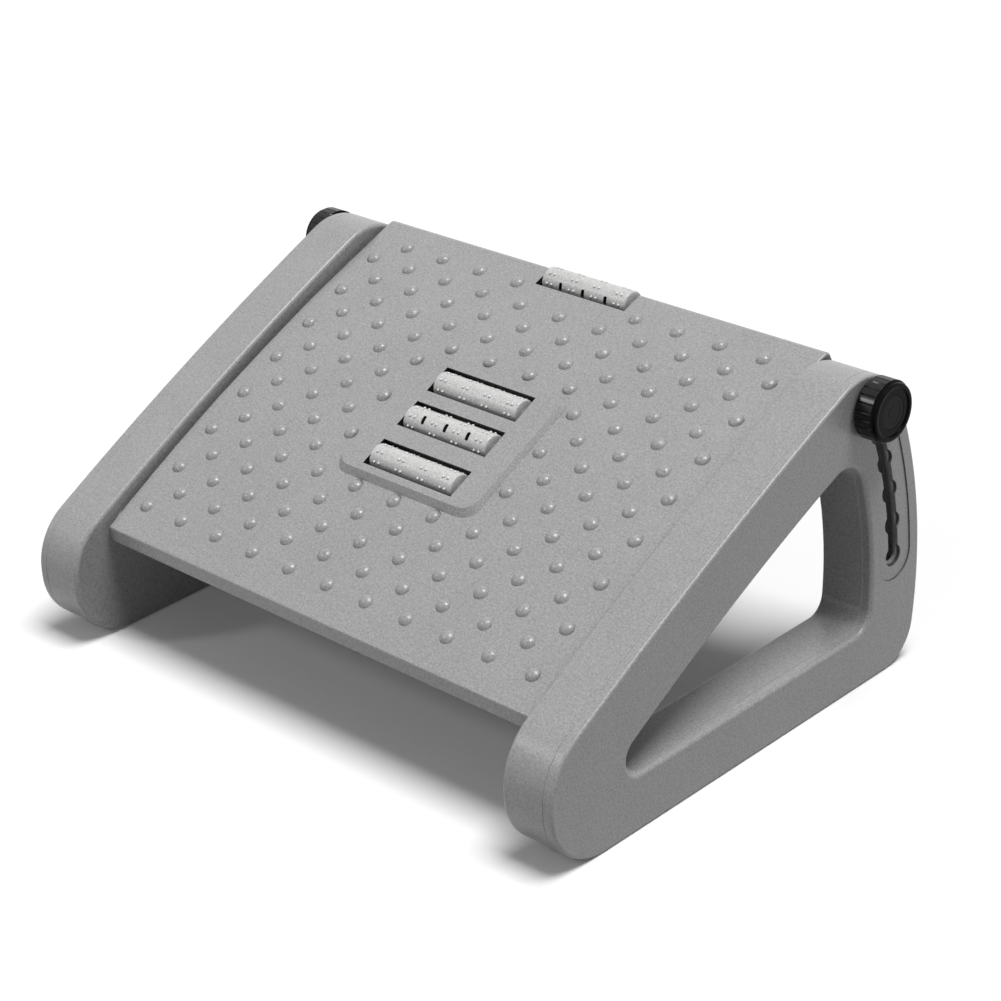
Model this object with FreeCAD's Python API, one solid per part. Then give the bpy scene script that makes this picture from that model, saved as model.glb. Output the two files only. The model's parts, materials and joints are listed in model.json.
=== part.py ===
import FreeCAD, Part
import math
import os

from FreeCAD import Vector

# Under-desk footrest, millimetres. X runs across the footrest, Y from the low front to the
# high rear, Z up. The origin is on the floor, under the middle of the side frames. The board
# is shown in its highest position, with both knobs slackened so that it can tilt.

# Side frames, seen from the side. The crown clears the highest place of the bolt by a margin.
overall_width = 456.0
frame_thickness = 38.0
pivot_setback = 45.0
pivot_height = 73.3
rear_edge_radius = 290.5
crown_margin = 20.0
chin_radius = 41.0
nose_flat = 4.6
brow_radius = 43.5
heel_radius = 28.5
crown_radius = 40.0
top_bow_radius = 2500.0

# Triangular window through each side frame, with a rail of the frame on every side
window_setback = 62.7
bottom_rail = 36.5
top_rail = 54.1
rear_rail = 47.3
window_chin_radius = 11.0
window_flat = 1.0
window_brow_radius = 12.0
window_heel_radius = 13.0
window_crown_radius = 19.0
window_bow_radius = 1500.0

# Mouldings of a side frame: deep inner shell and shallow outer cover
cover_depth = 7.0
frame_wall = 2.6
cover_plate = 3.4
shell_edge_radius = 2.6
window_edge_radius = 1.6
cover_edge_radius = 1.8
cover_window_radius = 2.8
seam_chamfer = 0.35
rib_thickness = 1.8
rib_count = 14
rib_drop = 1.5
peg_radius = 2.5
peg_boss_radius = 4.8
peg_length = 9.0

# Curved height slot with its detents, and the box of walls round it inside the frame
slot_setback = 25.3
slot_half_width = 4.8
slot_box_half_width = 12.0
slot_wall = 2.4
detent_count = 6
lowest_angle = 0.95
detent_step = 4.95
detent_radius = 7.3
detent_depth = 1.9
detent_floor = 2.0
track_half_width = 16.4
track_depth = 0.8

# Non-slip strip, set into the underside of each frame
strip_height = 1.2
strip_recess = 0.8
strip_width = 22.0
strip_start = 66.0
strip_end = 293.0
strip_corner = 5.0

# Front pivot: pin held by the shell, flanged bush held by the board
pin_radius = 4.0
pin_head_radius = 6.5
pin_head_height = 3.0
pin_boss_radius = 9.0
pin_boss_length = 20.0
bush_wall = 2.0
bush_flange_radius = 9.5

# Footboard, in its own frame: u from the pivot to the rear, n square to the board. The front
# face leans from the crease of the foot surface down to a narrow lip.
crease_setback = 12.2
board_front = 16.2
board_overhang = 20.8
board_middle = 137.0
board_rise = 19.5
board_bow_radius = 1505.0
board_skin = 2.8
board_side_wall = 3.0
board_floor = 3.0
lip_top = 4.8
lip_height = 1.0
lip_run = 14.0
crease_radius = 1.8
rear_roll_radius = 4.0
board_edge_radius = 1.6
board_rib = 2.0
long_rib_start = 62.0
long_rib_spacing = 44.0
cross_rib_start = 24.0
cross_rib_spacing = 44.0
ear_radius = 13.0
ear_thickness = 12.0
ear_rise = 10.0
nut_boss_length = 16.0

# Domes of the foot surface, in staggered rows
dome_radius = 5.1
dome_height = 2.9
dome_sink = 0.5
dome_half_pitch = 17.05
dome_row_pitch = 16.83
dome_first_row = 11.8
dome_rows = 16
dome_side_margin = 14.0

# Flat raised pad round the three middle rollers
pad_half_width = 60.3
pad_front = 86.0
pad_rear = 188.0
pad_top = 22.8
pad_foot = 17.6
pad_corner = 12.0

# Massage rollers on their axles
roller_radius = 9.0
roller_wall = 2.2
roller_length = 71.2
roller_end_wall = 3.0
roller_rounding = 1.0
roller_sink = 4.8
front_roller_setback = 104.3
middle_roller_setback = 138.4
back_roller_setback = 169.2
edge_roller_inset = 7.5
roller_gap = 1.65
roller_end_gap = 2.8
pocket_wall = 4.0
axle_radius = 2.0
snap_slot_width = 3.4

# Row of slits along each roller, turned from the top of the roller towards the front
slit_length = 7.0
slit_width = 2.2
slit_pitch = 19.6
slit_count = 3
middle_slit_turn = 25.0
edge_slit_turn = 50.0
hidden_slit_turn = 180.0

# Clamping knobs with their bolts, caps, nuts and stepped collars
knob_radius = 19.4
knob_height = 14.2
knob_skirt = 3.4
knob_face = 4.4
knob_hub_radius = 9.8
knob_chamfer = 1.2
flute_count = 24
flute_radius = 1.6
flute_depth = 0.9
dish_radius = 15.0
dish_depth = 0.9
cap_radius = 10.5
cap_thickness = 1.6
cap_ring_radius = 7.0
cap_button_radius = 3.5
cap_groove = 0.4
head_flats = 13.0
head_height = 5.3
stud_radius = 4.0
stud_chamfer = 1.0
stud_tip = 2.0
nut_flats = 13.0
nut_height = 6.5
nut_rounding_share = 0.62
collar_flange_radius = 12.0
collar_flange = 1.8
collar_engagement = 1.7
loosening = 2.0

# Fits
side_gap = 2.5
face_gap = 0.3
running_fit = 0.06
press_fit = 0.02
slip_fit = 0.2
overrun = 5.0

# Places worked out from the sizes above
board_tilt = lowest_angle + (detent_count - 1) * detent_step
slot_radius = rear_edge_radius - slot_setback
frame_length = pivot_setback + rear_edge_radius
frame_height = pivot_height + slot_radius * math.sin(math.radians(board_tilt)) + crown_margin
frame_floor = strip_height - strip_recess
pivot_y = pivot_setback - frame_length / 2
outer_x = overall_width / 2
inner_x = outer_x - frame_thickness
seam_x = outer_x - cover_depth
board_x = inner_x - side_gap
track_x = outer_x - track_depth
detent_floor_x = track_x - detent_depth - detent_floor
ear_x = board_x - ear_thickness
nut_boss_x = board_x - nut_boss_length
nut_seat_x = nut_boss_x + nut_height
flange_x = track_x + loosening
hub_x = flange_x + collar_flange
knob_face_x = hub_x + knob_height
head_seat_x = knob_face_x - dish_depth - cap_thickness - head_height
board_rear = slot_radius + board_overhang
roller_setbacks = {
    "front": front_roller_setback,
    "middle": middle_roller_setback,
    "back": back_roller_setback,
    "edge": board_rear - edge_roller_inset,
}
slit_turns = {
    "front": hidden_slit_turn,
    "middle": middle_slit_turn,
    "back": hidden_slit_turn,
    "edge": edge_slit_turn,
}


# Drawing helpers

def line(start, end):
    return Part.LineSegment(start, end).toShape()


def arc(start, end, centre):
    """Circle edge about centre, the short way from start to end."""
    middle = (start - centre) + (end - centre)
    middle.normalize()
    return Part.Arc(start, centre + middle * (start - centre).Length, end).toShape()


def toward(centre, through, radius):
    """Point at a radius from centre on the ray through another point."""
    ray = through - centre
    ray.normalize()
    return centre + ray * radius


def bar(edges, length):
    """Solid swept along X from a closed outline."""
    return Part.Face(Part.Wire(edges)).extrude(Vector(length, 0, 0))


def cylinder_x(radius, start, end, y, z):
    return Part.makeCylinder(radius, end - start, Vector(start, y, z), Vector(1, 0, 0))


def block(low, high):
    return Part.makeBox(high.x - low.x, high.y - low.y, high.z - low.z, low)


def hexagon_x(flats, start, end, y, z):
    """Hexagonal bar along X with a corner towards the rear."""
    corner = flats / math.sqrt(3)
    angles = [math.radians(60 * side) for side in range(7)]
    points = [Vector(start, y + corner * math.cos(a), z + corner * math.sin(a)) for a in angles]
    return bar(Part.makePolygon(points).Edges, end - start)


def edges_at(shape, x):
    """Edges of shape that lie in the plane at x."""
    near = press_fit / 2
    return [e for e in shape.Edges if abs(e.BoundBox.XMin - x) < near and abs(e.BoundBox.XMax - x) < near]


def tidy(shape):
    """The one solid of a boolean result, with its split faces joined again."""
    return shape.removeSplitter().Solids[0]


# Side frames. The outline and the window are alike: floor line, heel, rear arc about the
# pivot, crown, bowed top, brow, short upright nose and chin, all tangent. An inset moves
# every one of them inwards.

outline = {
    "floor": frame_floor,
    "front": 0.0,
    "top": frame_height,
    "chin": chin_radius,
    "flat": nose_flat,
    "brow": brow_radius,
    "heel": heel_radius,
    "crown": crown_radius,
    "rear": rear_edge_radius,
    "bow": top_bow_radius,
}
window = {
    "floor": frame_floor + bottom_rail,
    "front": window_setback,
    "top": frame_height - top_rail,
    "chin": window_chin_radius,
    "flat": window_flat,
    "brow": window_brow_radius,
    "heel": window_heel_radius,
    "crown": window_crown_radius,
    "rear": rear_edge_radius - rear_rail,
    "bow": window_bow_radius,
}


def pivot_at(x):
    return Vector(x, pivot_y, pivot_height)


def corner_centres(form, x):
    """Centres of the chin, brow, heel and crown corners and of the bowed top."""
    pivot = pivot_at(x)
    front = form["front"] - frame_length / 2
    chin = Vector(x, front + form["chin"], form["floor"] + form["chin"])
    brow = Vector(x, front + form["brow"], chin.z + form["flat"])
    heel = Vector(x, 0, form["floor"] + form["heel"])
    heel.y = pivot.y + math.sqrt((form["rear"] - form["heel"]) ** 2 - (heel.z - pivot.z) ** 2)
    crown = Vector(x, 0, form["top"] - form["crown"])
    crown.y = pivot.y + math.sqrt((form["rear"] - form["crown"]) ** 2 - (crown.z - pivot.z) ** 2)
    span = crown - brow
    to_brow = form["bow"] - form["brow"]
    to_crown = form["bow"] - form["crown"]
    along = (to_brow ** 2 - to_crown ** 2 + span.Length ** 2) / (2 * span.Length)
    across = math.sqrt(to_brow ** 2 - along ** 2)
    span.normalize()
    bow = brow + span * along + Vector(0, span.z, -span.y) * across
    return chin, brow, heel, crown, bow


def frame_loop(form, x, inset=0.0):
    """Closed outline of a side frame, or of its window, in the plane at x."""
    pivot = pivot_at(x)
    chin, brow, heel, crown, bow = corner_centres(form, x)
    under_chin = chin - Vector(0, 0, form["chin"] - inset)
    under_heel = heel - Vector(0, 0, form["heel"] - inset)
    heel_rear = toward(pivot, heel, form["rear"] - inset)
    crown_rear = toward(pivot, crown, form["rear"] - inset)
    crown_top = toward(bow, crown, form["bow"] - inset)
    brow_top = toward(bow, brow, form["bow"] - inset)
    brow_front = brow - Vector(0, form["brow"] - inset, 0)
    chin_front = chin - Vector(0, form["chin"] - inset, 0)
    return [
        line(under_chin, under_heel),
        arc(under_heel, heel_rear, heel),
        arc(heel_rear, crown_rear, pivot),
        arc(crown_rear, crown_top, crown),
        arc(crown_top, brow_top, bow),
        arc(brow_top, brow_front, brow),
        line(brow_front, chin_front),
        arc(chin_front, under_chin, chin),
    ]


def frame_ring(start, end, wall=0.0):
    """Side-frame section between two planes, open at the window, kept in by a wall."""
    outside = bar(frame_loop(outline, start, wall), end - start)
    return outside.cut(bar(frame_loop(window, start, -wall), end - start))


def rim_edges(shape, x):
    """Edges in the plane at x: those of the outline and those of the window."""
    limit = Part.Wire(frame_loop(window, x, -frame_wall)).BoundBox
    at_window = [e for e in edges_at(shape, x) if limit.isInside(e.BoundBox)]
    at_outline = [e for e in edges_at(shape, x) if not limit.isInside(e.BoundBox)]
    return at_outline, at_window


def slot_point(x, radius, position):
    """Point at a radius from the pivot, on the ray through a detent counted from 1."""
    angle = math.radians(lowest_angle + detent_step * (position - 1))
    return pivot_at(x) + Vector(0, radius * math.cos(angle), radius * math.sin(angle))


def slot_loop(x, half_width):
    """Curved stadium round the path of the bolt."""
    pivot = pivot_at(x)
    low = slot_point(x, slot_radius, 1)
    high = slot_point(x, slot_radius, detent_count)
    low_inside = slot_point(x, slot_radius - half_width, 1)
    low_outside = slot_point(x, slot_radius + half_width, 1)
    high_inside = slot_point(x, slot_radius - half_width, detent_count)
    high_outside = slot_point(x, slot_radius + half_width, detent_count)
    down = Vector(0, low.z - pivot.z, pivot.y - low.y)
    up = Vector(0, pivot.z - high.z, high.y - pivot.y)
    return [
        arc(low_outside, high_outside, pivot),
        Part.Arc(high_outside, toward(high, high + up, half_width), high_inside).toShape(),
        arc(high_inside, low_inside, pivot),
        Part.Arc(low_inside, toward(low, low + down, half_width), low_outside).toShape(),
    ]


def slot_box(start, end):
    """Walls round the slot, which keep the two mouldings apart under the clamp."""
    outside = bar(slot_loop(start, slot_box_half_width + slot_wall), end - start)
    return outside.cut(bar(slot_loop(start, slot_box_half_width), end - start))


def peg_places():
    """Where the pegs of the cover press into the shell: corners and the middle of two rails."""
    chin, brow, heel, crown, bow = corner_centres(outline, 0)
    low_rail = Vector(0, (chin.y + heel.y) / 2, frame_floor + bottom_rail / 2)
    edge = toward(bow, (brow + crown) * 0.5, top_bow_radius)
    window_bow = corner_centres(window, 0)[4]
    rail = (edge - window_bow).Length - window_bow_radius
    high_rail = toward(edge, window_bow, rail / 2)
    return [brow, low_rail, heel, crown, high_rail]


def frame_shell():
    """Deep inner moulding with a closed inner face, ribs, a box round the slot, and bosses."""
    shell = frame_ring(inner_x, seam_x)
    at_outline, at_window = rim_edges(shell, inner_x)
    shell = shell.makeFillet(shell_edge_radius, at_outline)
    at_outline, at_window = rim_edges(shell, inner_x)
    shell = shell.makeFillet(window_edge_radius, at_window)
    shell = shell.makeChamfer(seam_chamfer, edges_at(shell, seam_x))
    floor_x = inner_x + frame_wall
    cavity = frame_ring(floor_x, seam_x, frame_wall)
    shell = shell.cut(cavity.fuse(frame_ring(seam_x, seam_x + overrun, frame_wall)))

    rib_top = seam_x - rib_drop
    hub = window_hub()
    box_room = bar(slot_loop(floor_x, slot_box_half_width), frame_thickness)
    inserts = []
    for number in range(rib_count):
        rib = block(
            Vector(floor_x, hub.y, hub.z - rib_thickness / 2),
            Vector(rib_top, hub.y + frame_length, hub.z + rib_thickness / 2),
        )
        rib.rotate(hub, Vector(1, 0, 0), 360.0 * number / rib_count)
        inserts.append(rib.cut(box_room))
    inserts.append(slot_box(floor_x, seam_x))
    for place in peg_places():
        inserts.append(cylinder_x(peg_boss_radius, floor_x, rib_top, place.y, place.z))
    pin_boss_end = inner_x + pin_boss_length
    inserts.append(cylinder_x(pin_boss_radius, floor_x, pin_boss_end, pivot_y, pivot_height))
    inserts = [piece.common(cavity) for piece in inserts]
    shell = shell.fuse(inserts)

    holes = [bar(slot_loop(inner_x - overrun, slot_half_width), frame_thickness), strip_plate(slip_fit)]
    for place in peg_places():
        peg_end = seam_x - peg_length - overrun
        holes.append(cylinder_x(peg_radius + press_fit, peg_end, seam_x, place.y, place.z))
        cover_boss = peg_boss_radius + face_gap
        holes.append(cylinder_x(cover_boss, rib_top, seam_x + overrun, place.y, place.z))
    pin_hole_start = inner_x - overrun
    holes.append(cylinder_x(pin_radius + press_fit, pin_hole_start, seam_x, pivot_y, pivot_height))
    holes.append(
        cylinder_x(pin_boss_radius + overrun, pin_boss_end, seam_x + overrun, pivot_y, pivot_height)
    )
    return tidy(shell.cut(holes))


def window_hub():
    """Middle of the window, which the ribs of the shell point to."""
    chin, brow, heel, crown, bow = corner_centres(window, inner_x)
    return (brow + heel + crown) * (1 / 3)


def frame_cover():
    """Shallow outer moulding with rounded edges, the track, the detents and its pegs."""
    cover = frame_ring(seam_x, outer_x)
    at_outline, at_window = rim_edges(cover, outer_x)
    cover = cover.makeFillet(cover_edge_radius, at_outline)
    at_outline, at_window = rim_edges(cover, outer_x)
    cover = cover.makeFillet(cover_window_radius, at_window)
    cover = cover.makeChamfer(seam_chamfer, edges_at(cover, seam_x))
    under_plate = outer_x - cover_plate
    cover = cover.cut(frame_ring(seam_x - overrun, under_plate, frame_wall))

    additions = [
        slot_box(seam_x, under_plate),
        bar(slot_loop(detent_floor_x, slot_box_half_width), under_plate - detent_floor_x),
    ]
    for place in peg_places():
        additions.append(cylinder_x(peg_boss_radius, seam_x - rib_drop, under_plate, place.y, place.z))
        peg_end = seam_x - peg_length
        additions.append(cylinder_x(peg_radius, peg_end, under_plate, place.y, place.z))
    cover = cover.fuse(additions)

    cuts = [
        bar(slot_loop(track_x, track_half_width), track_depth + overrun),
        bar(slot_loop(seam_x - overrun, slot_half_width), frame_thickness),
    ]
    for position in range(1, detent_count + 1):
        centre = slot_point(track_x - detent_depth, slot_radius, position)
        cuts.append(Part.makeCylinder(detent_radius, frame_thickness, centre, Vector(1, 0, 0)))
    return tidy(cover.cut(cuts))


def strip_plate(clearance):
    """Strip under the shell with rounded corners, grown at its sides by a clearance."""
    half_width = strip_width / 2 + clearance
    middle_x = (inner_x + seam_x) / 2
    start = strip_start - frame_length / 2 - clearance
    end = strip_end - frame_length / 2 + clearance
    plate = block(Vector(middle_x - half_width, start, 0), Vector(middle_x + half_width, end, strip_height))
    upright = [e for e in plate.Edges if e.BoundBox.ZLength > strip_height / 2]
    return plate.makeFillet(strip_corner + clearance, upright)


def rubber_strip():
    """Self-adhesive strip in the recess of the shell, standing proud of it."""
    return strip_plate(0)


def pivot_pin():
    """Headed pin, pressed through the boss of the shell and out into the board's bush."""
    head_x = inner_x + pin_boss_length
    shank = cylinder_x(pin_radius, ear_x + face_gap, head_x, pivot_y, pivot_height)
    shank = shank.makeChamfer(pin_radius / 4, edges_at(shank, ear_x + face_gap))
    head = cylinder_x(pin_head_radius, head_x, head_x + pin_head_height, pivot_y, pivot_height)
    head = head.makeFillet(pin_head_height / 3, edges_at(head, head_x + pin_head_height))
    return tidy(shank.fuse(head))


# Footboard and what it carries. Each is drawn level, with the pivot at the origin, and is
# then tilted to the highest detent and moved to the pivot.

def on_board(shape):
    shape.rotate(Vector(0, 0, 0), Vector(1, 0, 0), board_tilt)
    shape.translate(pivot_at(0))
    return shape


def board_height(u):
    """Height of the bowed foot surface above the pivot."""
    bow_centre = board_rise - board_bow_radius
    return bow_centre + math.sqrt(board_bow_radius ** 2 - (u - board_middle) ** 2)


def roller_axis(name):
    """Place of a roller's axis: setback from the pivot and height above it."""
    setback = roller_setbacks[name]
    surface = board_height(setback) if name == "edge" else pad_top
    return setback, surface - roller_sink


def board_outline(x):
    """Side outline of the board: bowed top, rolled rear, leaning front face over a narrow lip."""
    bow = Vector(x, board_middle, board_rise - board_bow_radius)
    rear_roll = Vector(x, board_rear - rear_roll_radius, bow.z)
    to_roll = board_bow_radius - rear_roll_radius
    rear_roll.z += math.sqrt(to_roll ** 2 - (rear_roll.y - board_middle) ** 2)
    crease = Vector(x, -crease_setback, board_height(-crease_setback))
    lip_high = Vector(x, -board_front, lip_top)
    lip_low = Vector(x, -board_front, lip_top - lip_height)
    floor_front = Vector(x, lip_run - board_front, -board_floor)
    floor_rear = Vector(x, board_rear, -board_floor)
    rear_high = Vector(x, board_rear, rear_roll.z)
    top_rear = toward(bow, rear_roll, board_bow_radius)
    return [
        arc(crease, top_rear, bow),
        arc(top_rear, rear_high, rear_roll),
        line(rear_high, floor_rear),
        line(floor_rear, floor_front),
        line(floor_front, lip_low),
        line(lip_low, lip_high),
        line(lip_high, crease),
    ]


def board_hollow():
    """Space under the skin and the pad. Its front side leans as the front face does."""
    x = board_side_wall - board_x
    bow = Vector(x, board_middle, board_rise - board_bow_radius)
    lean = (board_front - crease_setback) / (board_height(-crease_setback) - lip_top)
    front = board_skin * (math.hypot(1, lean) - lean) - crease_setback
    rear = board_rear - board_skin
    low = -board_floor - overrun
    inside = board_bow_radius - board_skin
    top_front = Vector(x, front, bow.z + math.sqrt(inside ** 2 - (front - board_middle) ** 2))
    top_rear = Vector(x, rear, bow.z + math.sqrt(inside ** 2 - (rear - board_middle) ** 2))
    low_rear = Vector(x, rear, low)
    low_front = Vector(x, front - lean * (top_front.z - low), low)
    loop = [
        arc(top_front, top_rear, bow),
        line(top_rear, low_rear),
        line(low_rear, low_front),
        line(low_front, top_front),
    ]
    return bar(loop, -2 * x).fuse(pad_hollow())


def rounded_rectangle(half_x, front, rear, corner, z):
    """Rounded rectangle, level at z, centred on the middle of the board."""
    sheet = Part.makePlane(2 * half_x, rear - front, Vector(-half_x, front, z))
    sheet = sheet.extrude(Vector(0, 0, overrun))
    upright = [e for e in sheet.Edges if e.BoundBox.ZLength > overrun / 2]
    sheet = sheet.makeFillet(corner, upright)
    bottom = [f for f in sheet.Faces if f.BoundBox.ZMax < z + overrun / 2]
    return bottom[0].OuterWire


def pad_ring(grow, height):
    """Outline of the raised pad at a height, grown from the middle of its slope."""
    return rounded_rectangle(
        pad_half_width + grow, pad_front - grow, pad_rear + grow, pad_corner + grow, height
    )


def roller_pad():
    """Flat raised pad round the middle rollers, with sides that slope at 45 degrees."""
    slope = pad_top - pad_foot
    return Part.makeLoft([pad_ring(slope / 2, pad_foot), pad_ring(-slope / 2, pad_top)], True, True)


def pad_hollow():
    """Straight-sided space under the pad, which opens into the hollow of the board."""
    grow = (pad_foot - pad_top - board_skin) / 2
    low = pad_foot - overrun
    return Part.Face(pad_ring(grow, low)).extrude(Vector(0, 0, pad_top - board_skin - low))


def window_box(name, wall, low, high):
    """Box over a roller's window, grown by a wall. The edge window is open at the rear."""
    half_length = roller_length / 2 + roller_end_gap + wall
    half_width = roller_radius + roller_gap
    setback, height = roller_axis(name)
    front = setback - half_width - wall / 2
    rear = setback + half_width + wall / 2
    if name == "edge":
        rear = board_rear + overrun
    return block(Vector(-half_length, front, low), Vector(half_length, rear, high))


def dome_rows_places():
    """Centres of the domes, row by row: staggered, clear of the pad and the edge roller."""
    rows = []
    edge_front = roller_setbacks["edge"] - roller_radius - roller_gap - dome_radius
    edge_half = roller_length / 2 + roller_end_gap + dome_radius
    columns = int((board_x - dome_side_margin) / dome_half_pitch)
    for row in range(dome_rows):
        u = dome_first_row + row * dome_row_pitch
        places = []
        for column in range(-columns, columns + 1):
            x = column * dome_half_pitch
            on_pad = abs(x) < pad_half_width and pad_front - dome_radius < u < pad_rear
            at_edge = abs(x) < edge_half and u > edge_front
            if (row + column) % 2 == 0 and not on_pad and not at_edge:
                places.append((x, u))
        rows.append(places)
    return rows


def dome(x, u):
    """Round cap that stands on the foot surface and sinks a little into it."""
    radius = (dome_radius ** 2 + dome_height ** 2) / (2 * dome_height)
    centre = Vector(x, u, board_height(u) + dome_height - radius)
    base = math.degrees(math.asin((radius - dome_height - dome_sink) / radius))
    return Part.makeSphere(radius, centre, Vector(0, 0, 1), base, 90, 360)


def board_ribs():
    """Grid of stiffening ribs under the skin."""
    ribs = []
    x = long_rib_start
    while x < board_x - board_side_wall:
        for side in (x, -x):
            ribs.append(block(
                Vector(side - board_rib / 2, -board_front, -board_floor),
                Vector(side + board_rib / 2, board_rear, pad_top),
            ))
        x += long_rib_spacing
    u = cross_rib_start
    while u < board_rear - board_skin:
        ribs.append(block(
            Vector(-board_x, u - board_rib / 2, -board_floor),
            Vector(board_x, u + board_rib / 2, pad_top),
        ))
        u += cross_rib_spacing
    return ribs


def footboard():
    """Board moulding: bowed skin with domes, walls, ribs, roller pockets, ears and nut bosses."""
    envelope = bar(board_outline(-board_x), 2 * board_x)
    along = [e for e in envelope.Edges if e.BoundBox.XLength > board_x]
    crease = min(along, key=lambda edge: abs(edge.CenterOfMass.y + crease_setback))
    envelope = envelope.makeFillet(crease_radius, [crease])
    for side in (-board_x, board_x):
        rim = [e for e in edges_at(envelope, side) if e.BoundBox.ZMax > lip_top + press_fit]
        envelope = envelope.makeFillet(board_edge_radius, rim)
    envelope = envelope.fuse(roller_pad())
    board = envelope
    for row in dome_rows_places():
        board = board.fuse([dome(x, u) for x, u in row])
    hollow = board_hollow()
    board = board.cut(hollow)

    inserts = board_ribs()
    for name in roller_setbacks:
        inserts.append(window_box(name, pocket_wall, -board_floor, pad_top))
    inserts = [piece.common(hollow).common(envelope) for piece in inserts]
    for side in (-1, 1):
        for u, boss_x in ((0, ear_x), (slot_radius, nut_boss_x)):
            start, end = sorted((side * boss_x, side * board_x))
            inserts.append(cylinder_x(ear_radius, start, end, u, 0))
            inserts.append(block(Vector(start, u - ear_radius, 0), Vector(end, u + ear_radius, ear_rise)))
        start, end = sorted((side * board_x, side * (inner_x - face_gap)))
        inserts.append(cylinder_x(ear_radius - board_edge_radius, start, end, slot_radius, 0))
    board = board.fuse(inserts)

    cuts = [window_box(name, 0, -board_floor - overrun, pad_top + overrun) for name in roller_setbacks]
    half_axle = roller_length / 2 + roller_end_gap + pocket_wall
    for name in roller_setbacks:
        setback, height = roller_axis(name)
        cuts.append(cylinder_x(axle_radius + press_fit, -half_axle, half_axle, setback, height))
        cuts.append(block(
            Vector(-half_axle, setback - snap_slot_width / 2, -board_floor - overrun),
            Vector(half_axle, setback + snap_slot_width / 2, height),
        ))
    for side in (-1, 1):
        start, end = sorted((side * (ear_x - overrun), side * inner_x))
        cuts.append(cylinder_x(pin_radius + bush_wall, start, end, 0, 0))
        start, end = sorted((side * (nut_boss_x - overrun), side * inner_x))
        cuts.append(cylinder_x(stud_radius + slip_fit, start, end, slot_radius, 0))
        start, end = sorted((side * (nut_boss_x - overrun), side * nut_seat_x))
        cuts.append(hexagon_x(nut_flats + press_fit, start, end, slot_radius, 0))
    return tidy(board.cut(cuts))


def pivot_bush():
    """Flanged bush pressed into the board's ear; the pin runs in it."""
    sleeve = cylinder_x(pin_radius + bush_wall - press_fit, ear_x, board_x, 0, 0)
    flange = cylinder_x(bush_flange_radius, board_x, inner_x - face_gap, 0, 0)
    bore = cylinder_x(pin_radius + running_fit, ear_x - overrun, inner_x, 0, 0)
    return tidy(sleeve.fuse(flange).cut(bore))


def captive_nut():
    """Hexagon nut held in the pocket of the board's boss."""
    nut = hexagon_x(nut_flats, nut_boss_x, nut_seat_x, slot_radius, 0)
    middle = Vector((nut_boss_x + nut_seat_x) / 2, slot_radius, 0)
    rounding = Part.makeSphere(nut_flats * nut_rounding_share, middle)
    bore = cylinder_x(stud_radius + running_fit, nut_boss_x - overrun, board_x, slot_radius, 0)
    return tidy(nut.common(rounding).cut(bore))


def roller_axle(name):
    """Plain pin across a roller pocket, snapped into slots in the pocket's end walls."""
    half_length = roller_length / 2 + roller_end_gap + pocket_wall
    setback, height = roller_axis(name)
    axle = cylinder_x(axle_radius, -half_length, half_length, setback, height)
    ends = edges_at(axle, -half_length) + edges_at(axle, half_length)
    return axle.makeChamfer(axle_radius / 4, ends)


def roller(name):
    """Hollow roller with end walls and a row of slits."""
    setback, height = roller_axis(name)
    half_length = roller_length / 2
    tube = cylinder_x(roller_radius, -half_length, half_length, setback, height)
    ends = edges_at(tube, -half_length) + edges_at(tube, half_length)
    tube = tube.makeFillet(roller_rounding, ends)
    hollow_end = half_length - roller_end_wall
    hollow = cylinder_x(roller_radius - roller_wall, -hollow_end, hollow_end, setback, height)
    bore_radius = axle_radius + running_fit
    bore = cylinder_x(bore_radius, -half_length - overrun, half_length + overrun, setback, height)
    hub = cylinder_x(bore_radius + roller_wall, -hollow_end, hollow_end, setback, height)
    tube = tube.cut(hollow.cut(hub)).cut(bore)
    slits = []
    for number in range(slit_count):
        x = (number - (slit_count - 1) / 2) * slit_pitch
        low = Vector(x - slit_width / 2, setback - slit_length / 2, height + bore_radius + roller_wall)
        high = Vector(x + slit_width / 2, setback + slit_length / 2, height + roller_radius + overrun)
        slit = block(low, high)
        slit.rotate(Vector(0, setback, height), Vector(1, 0, 0), slit_turns[name])
        slits.append(slit)
    return tidy(tube.cut(slits))


# Clamping knobs, drawn level at the stud's place on the board

def stepped_collar():
    """Thrust collar: its spigot drops into a detent of the track when the knob is tight."""
    flange = cylinder_x(collar_flange_radius, flange_x, hub_x, slot_radius, 0)
    flange = flange.makeChamfer(collar_flange / 4, edges_at(flange, hub_x))
    spigot_radius = detent_radius - face_gap
    spigot = cylinder_x(spigot_radius, flange_x - collar_engagement, hub_x, slot_radius, 0)
    spigot = spigot.makeChamfer(collar_engagement / 4, edges_at(spigot, flange_x - collar_engagement))
    bore = cylinder_x(stud_radius + slip_fit, inner_x, knob_face_x, slot_radius, 0)
    return tidy(flange.fuse(spigot).cut(bore))


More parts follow.
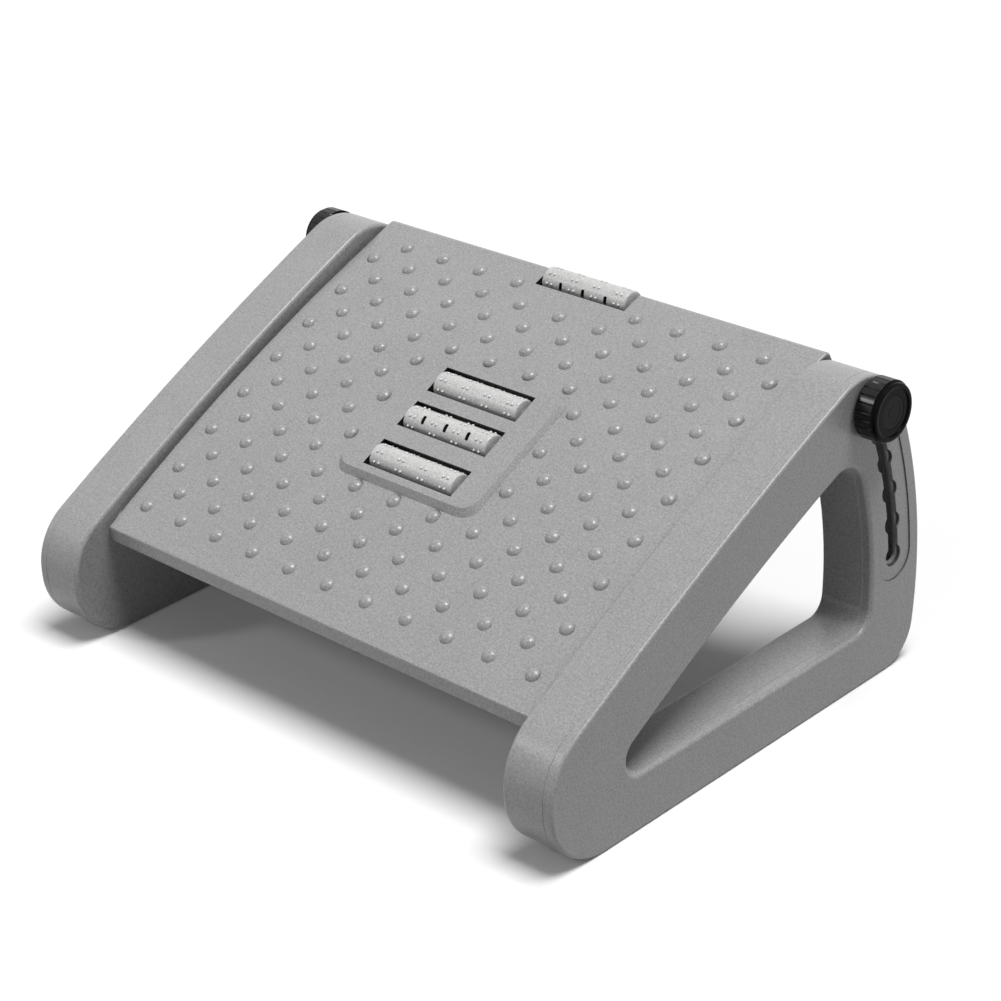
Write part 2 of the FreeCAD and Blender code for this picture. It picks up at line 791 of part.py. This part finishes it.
def knob():
    """Fluted cup-shaped knob with a hub, a hexagon pocket for the bolt head and a dished face."""
    rim_x = outer_x + loosening + face_gap
    body = cylinder_x(knob_radius, rim_x, knob_face_x, slot_radius, 0)
    body = body.makeChamfer(knob_chamfer, edges_at(body, knob_face_x))
    under_face = knob_face_x - knob_face
    cup = cylinder_x(knob_radius - knob_skirt, rim_x - overrun, under_face, slot_radius, 0)
    hub = cylinder_x(knob_hub_radius, rim_x - overrun, under_face, slot_radius, 0)
    body = body.cut(cup.cut(hub))
    clear_hub = cylinder_x(knob_hub_radius + overrun, rim_x - overrun, hub_x + running_fit, slot_radius, 0)
    cuts = [clear_hub.common(cup)]
    flute_circle = knob_radius + flute_radius - flute_depth
    for number in range(flute_count):
        angle = 2 * math.pi * number / flute_count
        y = slot_radius + flute_circle * math.cos(angle)
        z = flute_circle * math.sin(angle)
        cuts.append(cylinder_x(flute_radius, rim_x - overrun, knob_face_x + overrun, y, z))
    cuts.append(cylinder_x(dish_radius, knob_face_x - dish_depth, knob_face_x + overrun, slot_radius, 0))
    cap_seat = knob_face_x - dish_depth - cap_thickness
    cuts.append(cylinder_x(cap_radius + press_fit, cap_seat, knob_face_x, slot_radius, 0))
    cuts.append(hexagon_x(head_flats + press_fit, head_seat_x, knob_face_x, slot_radius, 0))
    cuts.append(cylinder_x(stud_radius + press_fit, rim_x - overrun, knob_face_x, slot_radius, 0))
    return tidy(body.cut(cuts))


def clamp_bolt():
    """Hexagon-head bolt fixed in the knob; it passes the slot and screws into the nut."""
    tip_x = nut_boss_x - stud_tip + loosening
    shank = cylinder_x(stud_radius, tip_x, head_seat_x, slot_radius, 0)
    shank = shank.makeChamfer(stud_chamfer, edges_at(shank, tip_x))
    head = hexagon_x(head_flats, head_seat_x, head_seat_x + head_height, slot_radius, 0)
    return tidy(shank.fuse(head))


def knob_cap():
    """Disc that closes the knob over the bolt head, with a raised ring."""
    seat = knob_face_x - dish_depth - cap_thickness
    disc = cylinder_x(cap_radius, seat, seat + cap_thickness, slot_radius, 0)
    groove_x = seat + cap_thickness - cap_groove
    groove = cylinder_x(cap_ring_radius, groove_x, knob_face_x, slot_radius, 0)
    button = cylinder_x(cap_button_radius, seat, knob_face_x, slot_radius, 0)
    return tidy(disc.cut(groove.cut(button)))


def mirrored(shape):
    return shape.mirror(Vector(0, 0, 0), Vector(1, 0, 0))


def build():
    """Every piece of the footrest by the name of its node."""
    frame_parts = {
        "frame_shell": frame_shell(),
        "frame_cover": frame_cover(),
        "rubber_strip": rubber_strip(),
        "pivot_pin": pivot_pin(),
    }
    board_parts = {
        "pivot_bush": pivot_bush(),
        "captive_nut": captive_nut(),
        "stepped_collar": stepped_collar(),
        "knob": knob(),
        "clamp_bolt": clamp_bolt(),
        "knob_cap": knob_cap(),
    }
    pieces = {"footboard": on_board(footboard())}
    for name, shape in frame_parts.items():
        pieces["right_" + name] = shape
        pieces["left_" + name] = mirrored(shape)
    for name, shape in board_parts.items():
        placed = on_board(shape)
        pieces["right_" + name] = placed
        pieces["left_" + name] = mirrored(placed)
    for name in roller_setbacks:
        pieces[name + "_roller"] = on_board(roller(name))
        pieces[name + "_roller_axle"] = on_board(roller_axle(name))
    return pieces


os.makedirs("parts", exist_ok=True)
for node, piece in build().items():
    if not piece.isValid():
        print(node, "is not valid")
    print(node, piece.ShapeType, len(piece.Solids), "volume", round(piece.Volume))
    piece.exportStep("parts/" + node + ".step")
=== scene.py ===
import json
import math

import bmesh
import bpy
from mathutils import Matrix, Vector


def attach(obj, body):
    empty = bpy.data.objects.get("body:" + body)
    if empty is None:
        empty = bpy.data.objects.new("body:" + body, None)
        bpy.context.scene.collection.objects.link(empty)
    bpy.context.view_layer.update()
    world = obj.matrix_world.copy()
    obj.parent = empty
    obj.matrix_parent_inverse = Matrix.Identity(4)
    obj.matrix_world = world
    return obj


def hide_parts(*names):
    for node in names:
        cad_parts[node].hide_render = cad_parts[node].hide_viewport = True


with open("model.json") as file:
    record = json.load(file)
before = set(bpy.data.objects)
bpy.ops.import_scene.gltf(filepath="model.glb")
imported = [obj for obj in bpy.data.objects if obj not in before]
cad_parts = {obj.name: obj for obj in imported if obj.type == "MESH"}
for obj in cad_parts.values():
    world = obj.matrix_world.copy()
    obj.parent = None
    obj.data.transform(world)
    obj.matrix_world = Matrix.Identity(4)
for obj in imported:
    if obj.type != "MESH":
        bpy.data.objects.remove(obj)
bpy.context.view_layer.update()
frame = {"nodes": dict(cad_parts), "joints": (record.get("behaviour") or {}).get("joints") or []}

# Studio. The footrest is seen from the front right and from a little above, under three soft
# boxes: a wide one overhead gives most of the light, and two small ones, at the front left and
# at the front, add a little more. A weak white sky fills the shadows.

camera_place = Vector((1.0864, -1.04405, 0.8500))
camera_azimuth = 45.27
camera_elevation = 26.48
camera_roll = -3.16
camera_lens = 96.15
camera_sensor = 36

bpy.context.scene.view_settings.view_transform = "Standard"
camera = bpy.data.objects.new("camera", bpy.data.cameras.new("camera"))
bpy.context.scene.collection.objects.link(camera)
camera.data.lens = camera_lens
camera.data.sensor_width = camera_sensor
turn = Matrix.Rotation(math.radians(camera_azimuth), 4, "Z")
turn = turn @ Matrix.Rotation(math.radians(90 - camera_elevation), 4, "X")
turn = turn @ Matrix.Rotation(math.radians(camera_roll), 4, "Z")
camera.matrix_world = Matrix.Translation(camera_place) @ turn
bpy.context.scene.camera = camera

lamp_distance = 20.0


def soft_box(name, direction, size, level):
    """Square lamp that lights a white card square to it at the given level."""
    lamp = bpy.data.lights.new(name, "AREA")
    lamp.shape = "SQUARE"
    lamp.size = size
    lamp.energy = level * (math.pi * lamp_distance) ** 2
    holder = bpy.data.objects.new(name, lamp)
    bpy.context.scene.collection.objects.link(holder)
    holder.location = Vector(direction).normalized() * lamp_distance
    holder.rotation_euler = (-holder.location).to_track_quat("-Z", "Y").to_euler()


soft_box("left_soft_box", (-0.54, -0.61, 0.58), size=2.6, level=0.10)
soft_box("right_soft_box", (0.22, 0.05, 0.97), size=8.5, level=0.90)
soft_box("front_soft_box", (0.33, -0.90, 0.26), size=2.2, level=0.012)


def shown_rays(nodes, links):
    """Socket that is 1 for rays that the camera sees directly, in a gloss or through glass."""
    path = nodes.new("ShaderNodeLightPath")
    mirrored = nodes.new("ShaderNodeMath")
    mirrored.operation = "MAXIMUM"
    links.new(path.outputs["Is Glossy Ray"], mirrored.inputs[0])
    links.new(path.outputs["Is Transmission Ray"], mirrored.inputs[1])
    shown = nodes.new("ShaderNodeMath")
    shown.operation = "MAXIMUM"
    links.new(path.outputs["Is Camera Ray"], shown.inputs[0])
    links.new(mirrored.outputs["Value"], shown.inputs[1])
    return shown.outputs["Value"]


sky_level = 0.15
world = bpy.data.worlds.new("sky")
bpy.context.scene.world = world
world.use_nodes = True
nodes, links = world.node_tree.nodes, world.node_tree.links
nodes.clear()
sky = nodes.new("ShaderNodeBackground")
sky.inputs["Color"].default_value = (1, 1, 1, 1)
sky.inputs["Strength"].default_value = sky_level
white = nodes.new("ShaderNodeBackground")
white.inputs["Color"].default_value = (1, 1, 1, 1)
choose = nodes.new("ShaderNodeMixShader")
output = nodes.new("ShaderNodeOutputWorld")
links.new(shown_rays(nodes, links), choose.inputs["Fac"])
links.new(sky.outputs["Background"], choose.inputs[1])
links.new(white.outputs["Background"], choose.inputs[2])
links.new(choose.outputs["Shader"], output.inputs["Surface"])

# Floor. A wide sheet of white paper, which keeps the footrest's shadow. The camera sees it
# as pure white where no shadow falls; the footrest gets the softer light of a pale floor.

floor_width = 12.0
paper_shade = 0.98
paper_glow = 0.04
bounce_shade = 0.34
sheet = bmesh.new()
bmesh.ops.create_grid(sheet, x_segments=1, y_segments=1, size=floor_width / 2)
data = bpy.data.meshes.new("floor")
sheet.to_mesh(data)
sheet.free()
floor = bpy.data.objects.new("floor", data)
bpy.context.scene.collection.objects.link(floor)

paper = bpy.data.materials.new("white_paper")
paper.use_nodes = True
nodes, links = paper.node_tree.nodes, paper.node_tree.links
nodes.clear()
seen = nodes.new("ShaderNodeBsdfDiffuse")
seen.inputs["Color"].default_value = (paper_shade, paper_shade, paper_shade, 1)
glow = nodes.new("ShaderNodeEmission")
glow.inputs["Strength"].default_value = paper_glow
both = nodes.new("ShaderNodeAddShader")
bounce = nodes.new("ShaderNodeBsdfDiffuse")
bounce.inputs["Color"].default_value = (bounce_shade, bounce_shade, bounce_shade, 1)
choose = nodes.new("ShaderNodeMixShader")
output = nodes.new("ShaderNodeOutputMaterial")
links.new(seen.outputs["BSDF"], both.inputs[0])
links.new(glow.outputs["Emission"], both.inputs[1])
links.new(shown_rays(nodes, links), choose.inputs["Fac"])
links.new(bounce.outputs["BSDF"], choose.inputs[1])
links.new(both.outputs["Shader"], choose.inputs[2])
links.new(choose.outputs["Shader"], output.inputs["Surface"])
data.materials.append(paper)

# Side frames and footboard. Grey mouldings with a fine spark-eroded grain, taken as the CAD
# shows them: hollow shells and covers that meet at a seam, and the bowed board with its domes.
# The mould leaves their edges softly rounded. The colour is speckled, and painted shade
# darkens it in creases and hollows.

cloud_scale = 22
cloud_detail = 6
speckle_scale = 850
speckle_share = 0.8
speckle_depth = 0.38
gloss_spread = 0.06
# Reach, darkness and thresholds of the painted shade in creases.
crevice_reach = 0.022
crevice_shade = 0.05
crevice_closed = 0.45
crevice_open = 0.85
crevice_samples = 12
edge_samples = 4
frame_grey = (0.36, 0.36, 0.362)


def moulded(name, colour, roughness, grain_height, edge_radius=0.0004, alone=True):
    """Moulded plastic: speckled colour with painted shade in crevices, fine grain, softened edges.
    """
    made = bpy.data.materials.new(name)
    made.use_nodes = True
    nodes, links = made.node_tree.nodes, made.node_tree.links
    shader = nodes["Principled BSDF"]
    place = nodes.new("ShaderNodeTexCoord")

    clouds = nodes.new("ShaderNodeTexNoise")
    clouds.inputs["Scale"].default_value = cloud_scale
    clouds.inputs["Detail"].default_value = cloud_detail
    links.new(place.outputs["Object"], clouds.inputs["Vector"])
    speckle = nodes.new("ShaderNodeTexNoise")
    speckle.inputs["Scale"].default_value = speckle_scale
    speckle.inputs["Detail"].default_value = 0
    links.new(place.outputs["Object"], speckle.inputs["Vector"])
    blend = nodes.new("ShaderNodeMix")
    blend.data_type = "FLOAT"
    blend.inputs[0].default_value = speckle_share
    links.new(clouds.outputs["Fac"], blend.inputs[2])
    links.new(speckle.outputs["Fac"], blend.inputs[3])
    shades = nodes.new("ShaderNodeMix")
    shades.data_type = "RGBA"
    shades.inputs[6].default_value = (*[part * (1 - speckle_depth) for part in colour], 1)
    shades.inputs[7].default_value = (*[part * (1 + speckle_depth) for part in colour], 1)
    links.new(blend.outputs[0], shades.inputs[0])
    # Painted shade: the colour goes dark where the ambient occlusion node finds the surface closed
    # in.
    open_sky = nodes.new("ShaderNodeAmbientOcclusion")
    open_sky.only_local = alone
    open_sky.samples = crevice_samples
    open_sky.inputs["Distance"].default_value = crevice_reach
    exposed = nodes.new("ShaderNodeMapRange")
    exposed.inputs["From Min"].default_value = crevice_closed
    exposed.inputs["From Max"].default_value = crevice_open
    links.new(open_sky.outputs["AO"], exposed.inputs["Value"])
    painted_shade_mix = nodes.new("ShaderNodeMix")
    painted_shade_mix.data_type = "RGBA"
    painted_shade_mix.inputs[6].default_value = (*[part * crevice_shade for part in colour], 1)
    links.new(exposed.outputs["Result"], painted_shade_mix.inputs[0])
    links.new(shades.outputs[2], painted_shade_mix.inputs[7])
    links.new(painted_shade_mix.outputs[2], shader.inputs["Base Color"])

    gloss = nodes.new("ShaderNodeMapRange")
    gloss.inputs["To Min"].default_value = roughness - gloss_spread
    gloss.inputs["To Max"].default_value = roughness + gloss_spread
    links.new(clouds.outputs["Fac"], gloss.inputs["Value"])
    links.new(gloss.outputs["Result"], shader.inputs["Roughness"])

    soft = nodes.new("ShaderNodeBevel")
    soft.samples = edge_samples
    soft.inputs["Radius"].default_value = edge_radius
    grain = nodes.new("ShaderNodeBump")
    grain.inputs["Strength"].default_value = 1
    grain.inputs["Distance"].default_value = grain_height
    links.new(speckle.outputs["Fac"], grain.inputs["Height"])
    links.new(soft.outputs["Normal"], grain.inputs["Normal"])
    links.new(grain.outputs["Normal"], shader.inputs["Normal"])
    return made


def dress(words, material):
    """Gives a material to every CAD node whose name ends in the words."""
    for node, piece in frame["nodes"].items():
        if node.endswith(words):
            piece.data.materials.clear()
            piece.data.materials.append(material)


frame_plastic = moulded("frame_plastic", frame_grey, 0.33, 0.00008)
# The board's painted shade in creases also counts the frames and rollers beside it.
board_plastic = moulded("board_plastic", frame_grey, 0.25, 0.00010, alone=False)
dress("frame_shell", frame_plastic)
dress("frame_cover", frame_plastic)
dress("footboard", board_plastic)

# Rubber strips. Black self-adhesive rubber in a shallow recess under each frame, just proud
# of it, so that the footrest doesn't slide.

strip_rubber = moulded("strip_rubber", (0.020, 0.020, 0.020), 0.80, 0.00003)
dress("rubber_strip", strip_rubber)

# Pivots. Plain steel pins pressed into the frames, turning in flanged natural nylon bushes
# that are pressed into the board's ears. Nuts, roller axles and clamp bolts are steel too.

pin_steel = moulded("pin_steel", (0.60, 0.60, 0.61), 0.35, 0.000005)
pin_steel.node_tree.nodes["Principled BSDF"].inputs["Metallic"].default_value = 1
bush_nylon = moulded("bush_nylon", (0.70, 0.69, 0.65), 0.45, 0.00001)
dress("pivot_pin", pin_steel)
dress("pivot_bush", bush_nylon)
dress("captive_nut", pin_steel)
dress("roller_axle", pin_steel)
dress("clamp_bolt", pin_steel)

# Massage rollers. Light grey tubes that turn on steel axles, each moulded in one with its
# nubs: eight rows of small round nubs in pairs, and in line with one row three slits through
# the wall. The nubs' paler colour is a painted highlight, and the scene's tubes stand for the
# CAD's plainer ones.

board_tilt = math.radians(25.7)
roller_radius = 0.0090
roller_half_length = 0.0356
roller_rounding = 0.0010
cavity_radius = 0.0068
cavity_half_length = 0.0326
hub_radius = 0.0043
bore_radius = 0.0021
slit_pitch = 0.0192
slit_half_width = 0.0013
slit_half_steps = 5
slit_inner_share = 0.5
slit_corner_share = 0.74
slit_corner_steps = 0.55
slit_reach = 0.003
hub_margin = 0.001
roller_steps = 96
nub_radius = 0.00105
nub_rise = 0.00095
nub_spacing = 0.0039
nub_segments = 10
nub_rings = 6
nub_rows = 8
pairs_in_row = 4
slit_turns = {"front": 190, "middle": 20, "back": 192, "edge": 54}
weld_distance = 0.000005
crisp_angle = math.radians(32)

roller_plastic = moulded("roller_plastic", (0.62, 0.62, 0.615), 0.32, 0.00004)
# The nubs' paler colour is a painted highlight on the tube's own plastic.
nub_highlight_plastic = moulded("nub_highlight_plastic", (0.86, 0.86, 0.86), 0.22, 0.00001)


def finished(name, mesh, material, body, slot, *stands_for):
    """Turns a bmesh into a smooth piece with crisp corners that rides on a body."""
    bmesh.ops.remove_doubles(mesh, verts=mesh.verts, dist=weld_distance)
    bmesh.ops.recalc_face_normals(mesh, faces=mesh.faces)
    for face in mesh.faces:
        face.smooth = True
    for edge in mesh.edges:
        edge.smooth = edge.calc_face_angle(0) < crisp_angle
    data = bpy.data.meshes.new(name)
    mesh.to_mesh(data)
    mesh.free()
    data.materials.append(material)
    piece = bpy.data.objects.new(name, data)
    bpy.context.scene.collection.objects.link(piece)
    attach(piece, body)
    if stands_for:
        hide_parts(*stands_for)
    return piece


def spun(profiles, steps, closed):
    """Lathe shape about the X axis from profiles of places along it and radii."""
    mesh = bmesh.new()
    drawn = []
    for profile in profiles:
        corners = [mesh.verts.new((along, 0, radius)) for along, radius in profile]
        drawn += corners + [mesh.edges.new(pair) for pair in zip(corners, corners[1:])]
        if closed:
            drawn.append(mesh.edges.new((corners[-1], corners[0])))
    bmesh.ops.spin(
        mesh, geom=drawn, cent=(0, 0, 0), axis=(1, 0, 0), dvec=(0, 0, 0),
        angle=2 * math.pi, steps=steps, use_merge=True, use_duplicate=False,
    )
    return mesh


slit_centres = (-slit_pitch, 0, slit_pitch)
slit_shares = (-1, -slit_inner_share, slit_inner_share, 1)
slit_columns = [
    centre + share * slit_half_width for centre in slit_centres for share in slit_shares
]
half_face = roller_half_length - roller_rounding
roller_rim = [(0.0, 1.0), (0.38, 0.92), (0.71, 0.71), (0.92, 0.38), (1.0, 0.0)]
right_rim = [
    (half_face + out * roller_rounding, roller_radius - roller_rounding + up * roller_rounding)
    for out, up in roller_rim
]
left_rim = [(-along, radius) for along, radius in reversed(right_rim)]
body_profile = left_rim + [(along, roller_radius) for along in slit_columns] + right_rim
body_profile += [(roller_half_length, bore_radius), (-roller_half_length, bore_radius)]
cavity_profile = [(-cavity_half_length, cavity_radius)]
cavity_profile += [(along, cavity_radius) for along in slit_columns]
cavity_profile += [(cavity_half_length, cavity_radius), (cavity_half_length, hub_radius)]
cavity_profile += [(-cavity_half_length, hub_radius)]


def slotted_tube():
    """Roller on the X axis with its slits on top, cut through to the cavity round the hub."""
    mesh = spun([body_profile, cavity_profile], roller_steps, True)
    for centre in slit_centres:
        doomed = []
        for face in mesh.faces:
            middle = face.calc_center_median()
            aside = abs(middle.x - centre) / slit_half_width
            step = abs(math.atan2(middle.y, middle.z)) / (2 * math.pi) * roller_steps
            reach = slit_half_steps - (1 if aside > slit_inner_share else 0)
            outside_hub = math.hypot(middle.y, middle.z) > hub_radius + hub_margin
            if aside < 1 and step < reach and outside_hub:
                doomed.append(face)
        bmesh.ops.delete(mesh, geom=doomed, context="FACES")
        for corner in mesh.verts:
            aside = (corner.co.x - centre) / slit_half_width
            step = math.atan2(corner.co.y, corner.co.z) / (2 * math.pi) * roller_steps
            on_inner_column = round(abs(aside), 2) == slit_inner_share
            on_last_step = round(abs(step)) == slit_half_steps - 1
            if corner.is_boundary and on_inner_column and on_last_step:
                radius = math.hypot(corner.co.y, corner.co.z)
                steps = math.copysign(slit_half_steps - slit_corner_steps, step)
                angle = steps / roller_steps * 2 * math.pi
                corner.co.x = centre + math.copysign(slit_corner_share * slit_half_width, aside)
                corner.co.y = radius * math.sin(angle)
                corner.co.z = radius * math.cos(angle)
        rims = []
        for edge in mesh.edges:
            along = (edge.verts[0].co.x + edge.verts[1].co.x) / 2
            if edge.is_boundary and abs(along - centre) < slit_reach:
                rims.append(edge)
        bmesh.ops.bridge_loops(mesh, edges=rims)
    return mesh


joint_places = {joint["name"]: joint.get("pos_m") for joint in frame["joints"]}
for roller, slit_turn in slit_turns.items():
    tube = slotted_tube()
    for row in range(nub_rows):
        turned = Matrix.Rotation(2 * math.pi * row / nub_rows, 4, "X")
        for pair in range(pairs_in_row):
            for side in (-0.5, 0.5):
                along = (pair - (pairs_in_row - 1) / 2) * slit_pitch + side * nub_spacing
                out = Matrix.Translation((along, 0, roller_radius + nub_rise - nub_radius))
                nub = bmesh.ops.create_uvsphere(
                    tube, u_segments=nub_segments, v_segments=nub_rings,
                    radius=nub_radius, matrix=turned @ out,
                )
                for corner in nub["verts"]:
                    for face in corner.link_faces:
                        face.material_index = 1
    angle = board_tilt + math.radians(slit_turn)
    place = Vector(joint_places[roller + "_roller_spin"])
    bmesh.ops.rotate(tube, cent=(0, 0, 0), matrix=Matrix.Rotation(angle, 3, "X"), verts=tube.verts)
    bmesh.ops.translate(tube, vec=place, verts=tube.verts)
    piece = finished(
        roller + "_nubbed_roller", tube, roller_plastic, roller + "_roller", "roller_plastic",
        roller + "_roller",
    )
    piece.data.materials.append(nub_highlight_plastic)

# Clamping knobs. Black cup-shaped mouldings with 24 lands round the grip, narrow grooves
# between them, and a smooth stepped rim round a shallow dish. A thrust collar, black as well,
# stands between knob and frame.

knob_black = (0.003, 0.003, 0.003)
knob_edge = 0.00035
black_plastic = moulded("black_plastic", knob_black, 0.24, 0.00001, edge_radius=knob_edge)
black_plastic.node_tree.nodes["Principled BSDF"].inputs["Specular IOR Level"].default_value = 0.05
grip_plastic = moulded("grip_plastic", knob_black, 0.20, 0.00001, edge_radius=knob_edge)
grip_plastic.node_tree.nodes["Principled BSDF"].inputs["Specular IOR Level"].default_value = 0.30
dress("stepped_collar", black_plastic)

lands = 24
steps_per_land = 8
groove_depth = 0.0007
land_margin = 0.0008
slack = 0.00001
grip_radius = 0.0194
grip_back = 0.2308
grip_front = 0.2420
knob_profile = [
    (0.2303, 0.0160),
    (0.2303, 0.0189),
    (grip_back, grip_radius),
    (grip_front, grip_radius),
    (0.2426, 0.0188),
    (0.2428, 0.0182),
    (0.2443, 0.0181),
    (0.2449, 0.0179),
    (0.2452, 0.0173),
    (0.2452, 0.0154),
    (0.2450, 0.0150),
    (0.2443, 0.0148),
    (0.2443, 0.01055),
    (0.2427, 0.01055),
    (0.2427, 0.0077),
    (0.2374, 0.0077),
    (0.2374, 0.0041),
    (0.2311, 0.0041),
    (0.2311, 0.0098),
    (0.2408, 0.0098),
    (0.2408, 0.0160),
]


def at_knob(mesh, side):
    """Moves a shape from the X axis to the bolt of one side, mirrored for the left."""
    if side == "left":
        bmesh.ops.scale(mesh, vec=(-1, 1, 1), verts=mesh.verts)
    place = Vector(joint_places[side + "_knob_turn"])
    bmesh.ops.translate(mesh, vec=(0, place.y, place.z), verts=mesh.verts)


for side in ("left", "right"):
    knob = spun([knob_profile], lands * steps_per_land, True)
    for corner in knob.verts:
        on_grip = grip_back <= corner.co.x + slack and corner.co.x <= grip_front + slack
        radius = math.hypot(corner.co.y, corner.co.z)
        step = round(math.atan2(corner.co.y, corner.co.z) / (2 * math.pi) * lands * steps_per_land)
        if on_grip and radius > grip_radius - slack and step % steps_per_land == 0:
            corner.co.y *= 1 - groove_depth / radius
            corner.co.z *= 1 - groove_depth / radius
    for face in knob.faces:
        middle = face.calc_center_median()
        on_lands = math.hypot(middle.y, middle.z) > grip_radius - land_margin
        if grip_back < middle.x < grip_front and on_lands:
            face.material_index = 1
    at_knob(knob, side)
    piece = finished(
        side + "_fluted_knob", knob, black_plastic, side + "_knob", "knob_plastic", side + "_knob"
    )
    piece.data.materials.append(grip_plastic)

# Knob caps. Black discs that close the knobs over the heads of the bolts, each with one faint
# sunk ring, a little glossier than the knobs.

cap_plastic = moulded("cap_plastic", (0.004, 0.004, 0.004), 0.24, 0.000006, edge_radius=0.0002)
cap_plastic.node_tree.nodes["Principled BSDF"].inputs["Specular IOR Level"].default_value = 0.07
cap_profile = [
    (0.2427, 0.0),
    (0.2427, 0.01045),
    (0.2441, 0.01045),
    (0.2443, 0.0102),
    (0.2443, 0.0071),
    (0.24415, 0.0070),
    (0.24415, 0.0038),
    (0.2443, 0.0037),
    (0.2443, 0.0),
]
cap_steps = 96
for side in ("left", "right"):
    cap = spun([cap_profile], cap_steps, False)
    at_knob(cap, side)
    finished(
        side + "_ringed_cap", cap, cap_plastic, side + "_knob", "cap_plastic", side + "_knob_cap"
    )
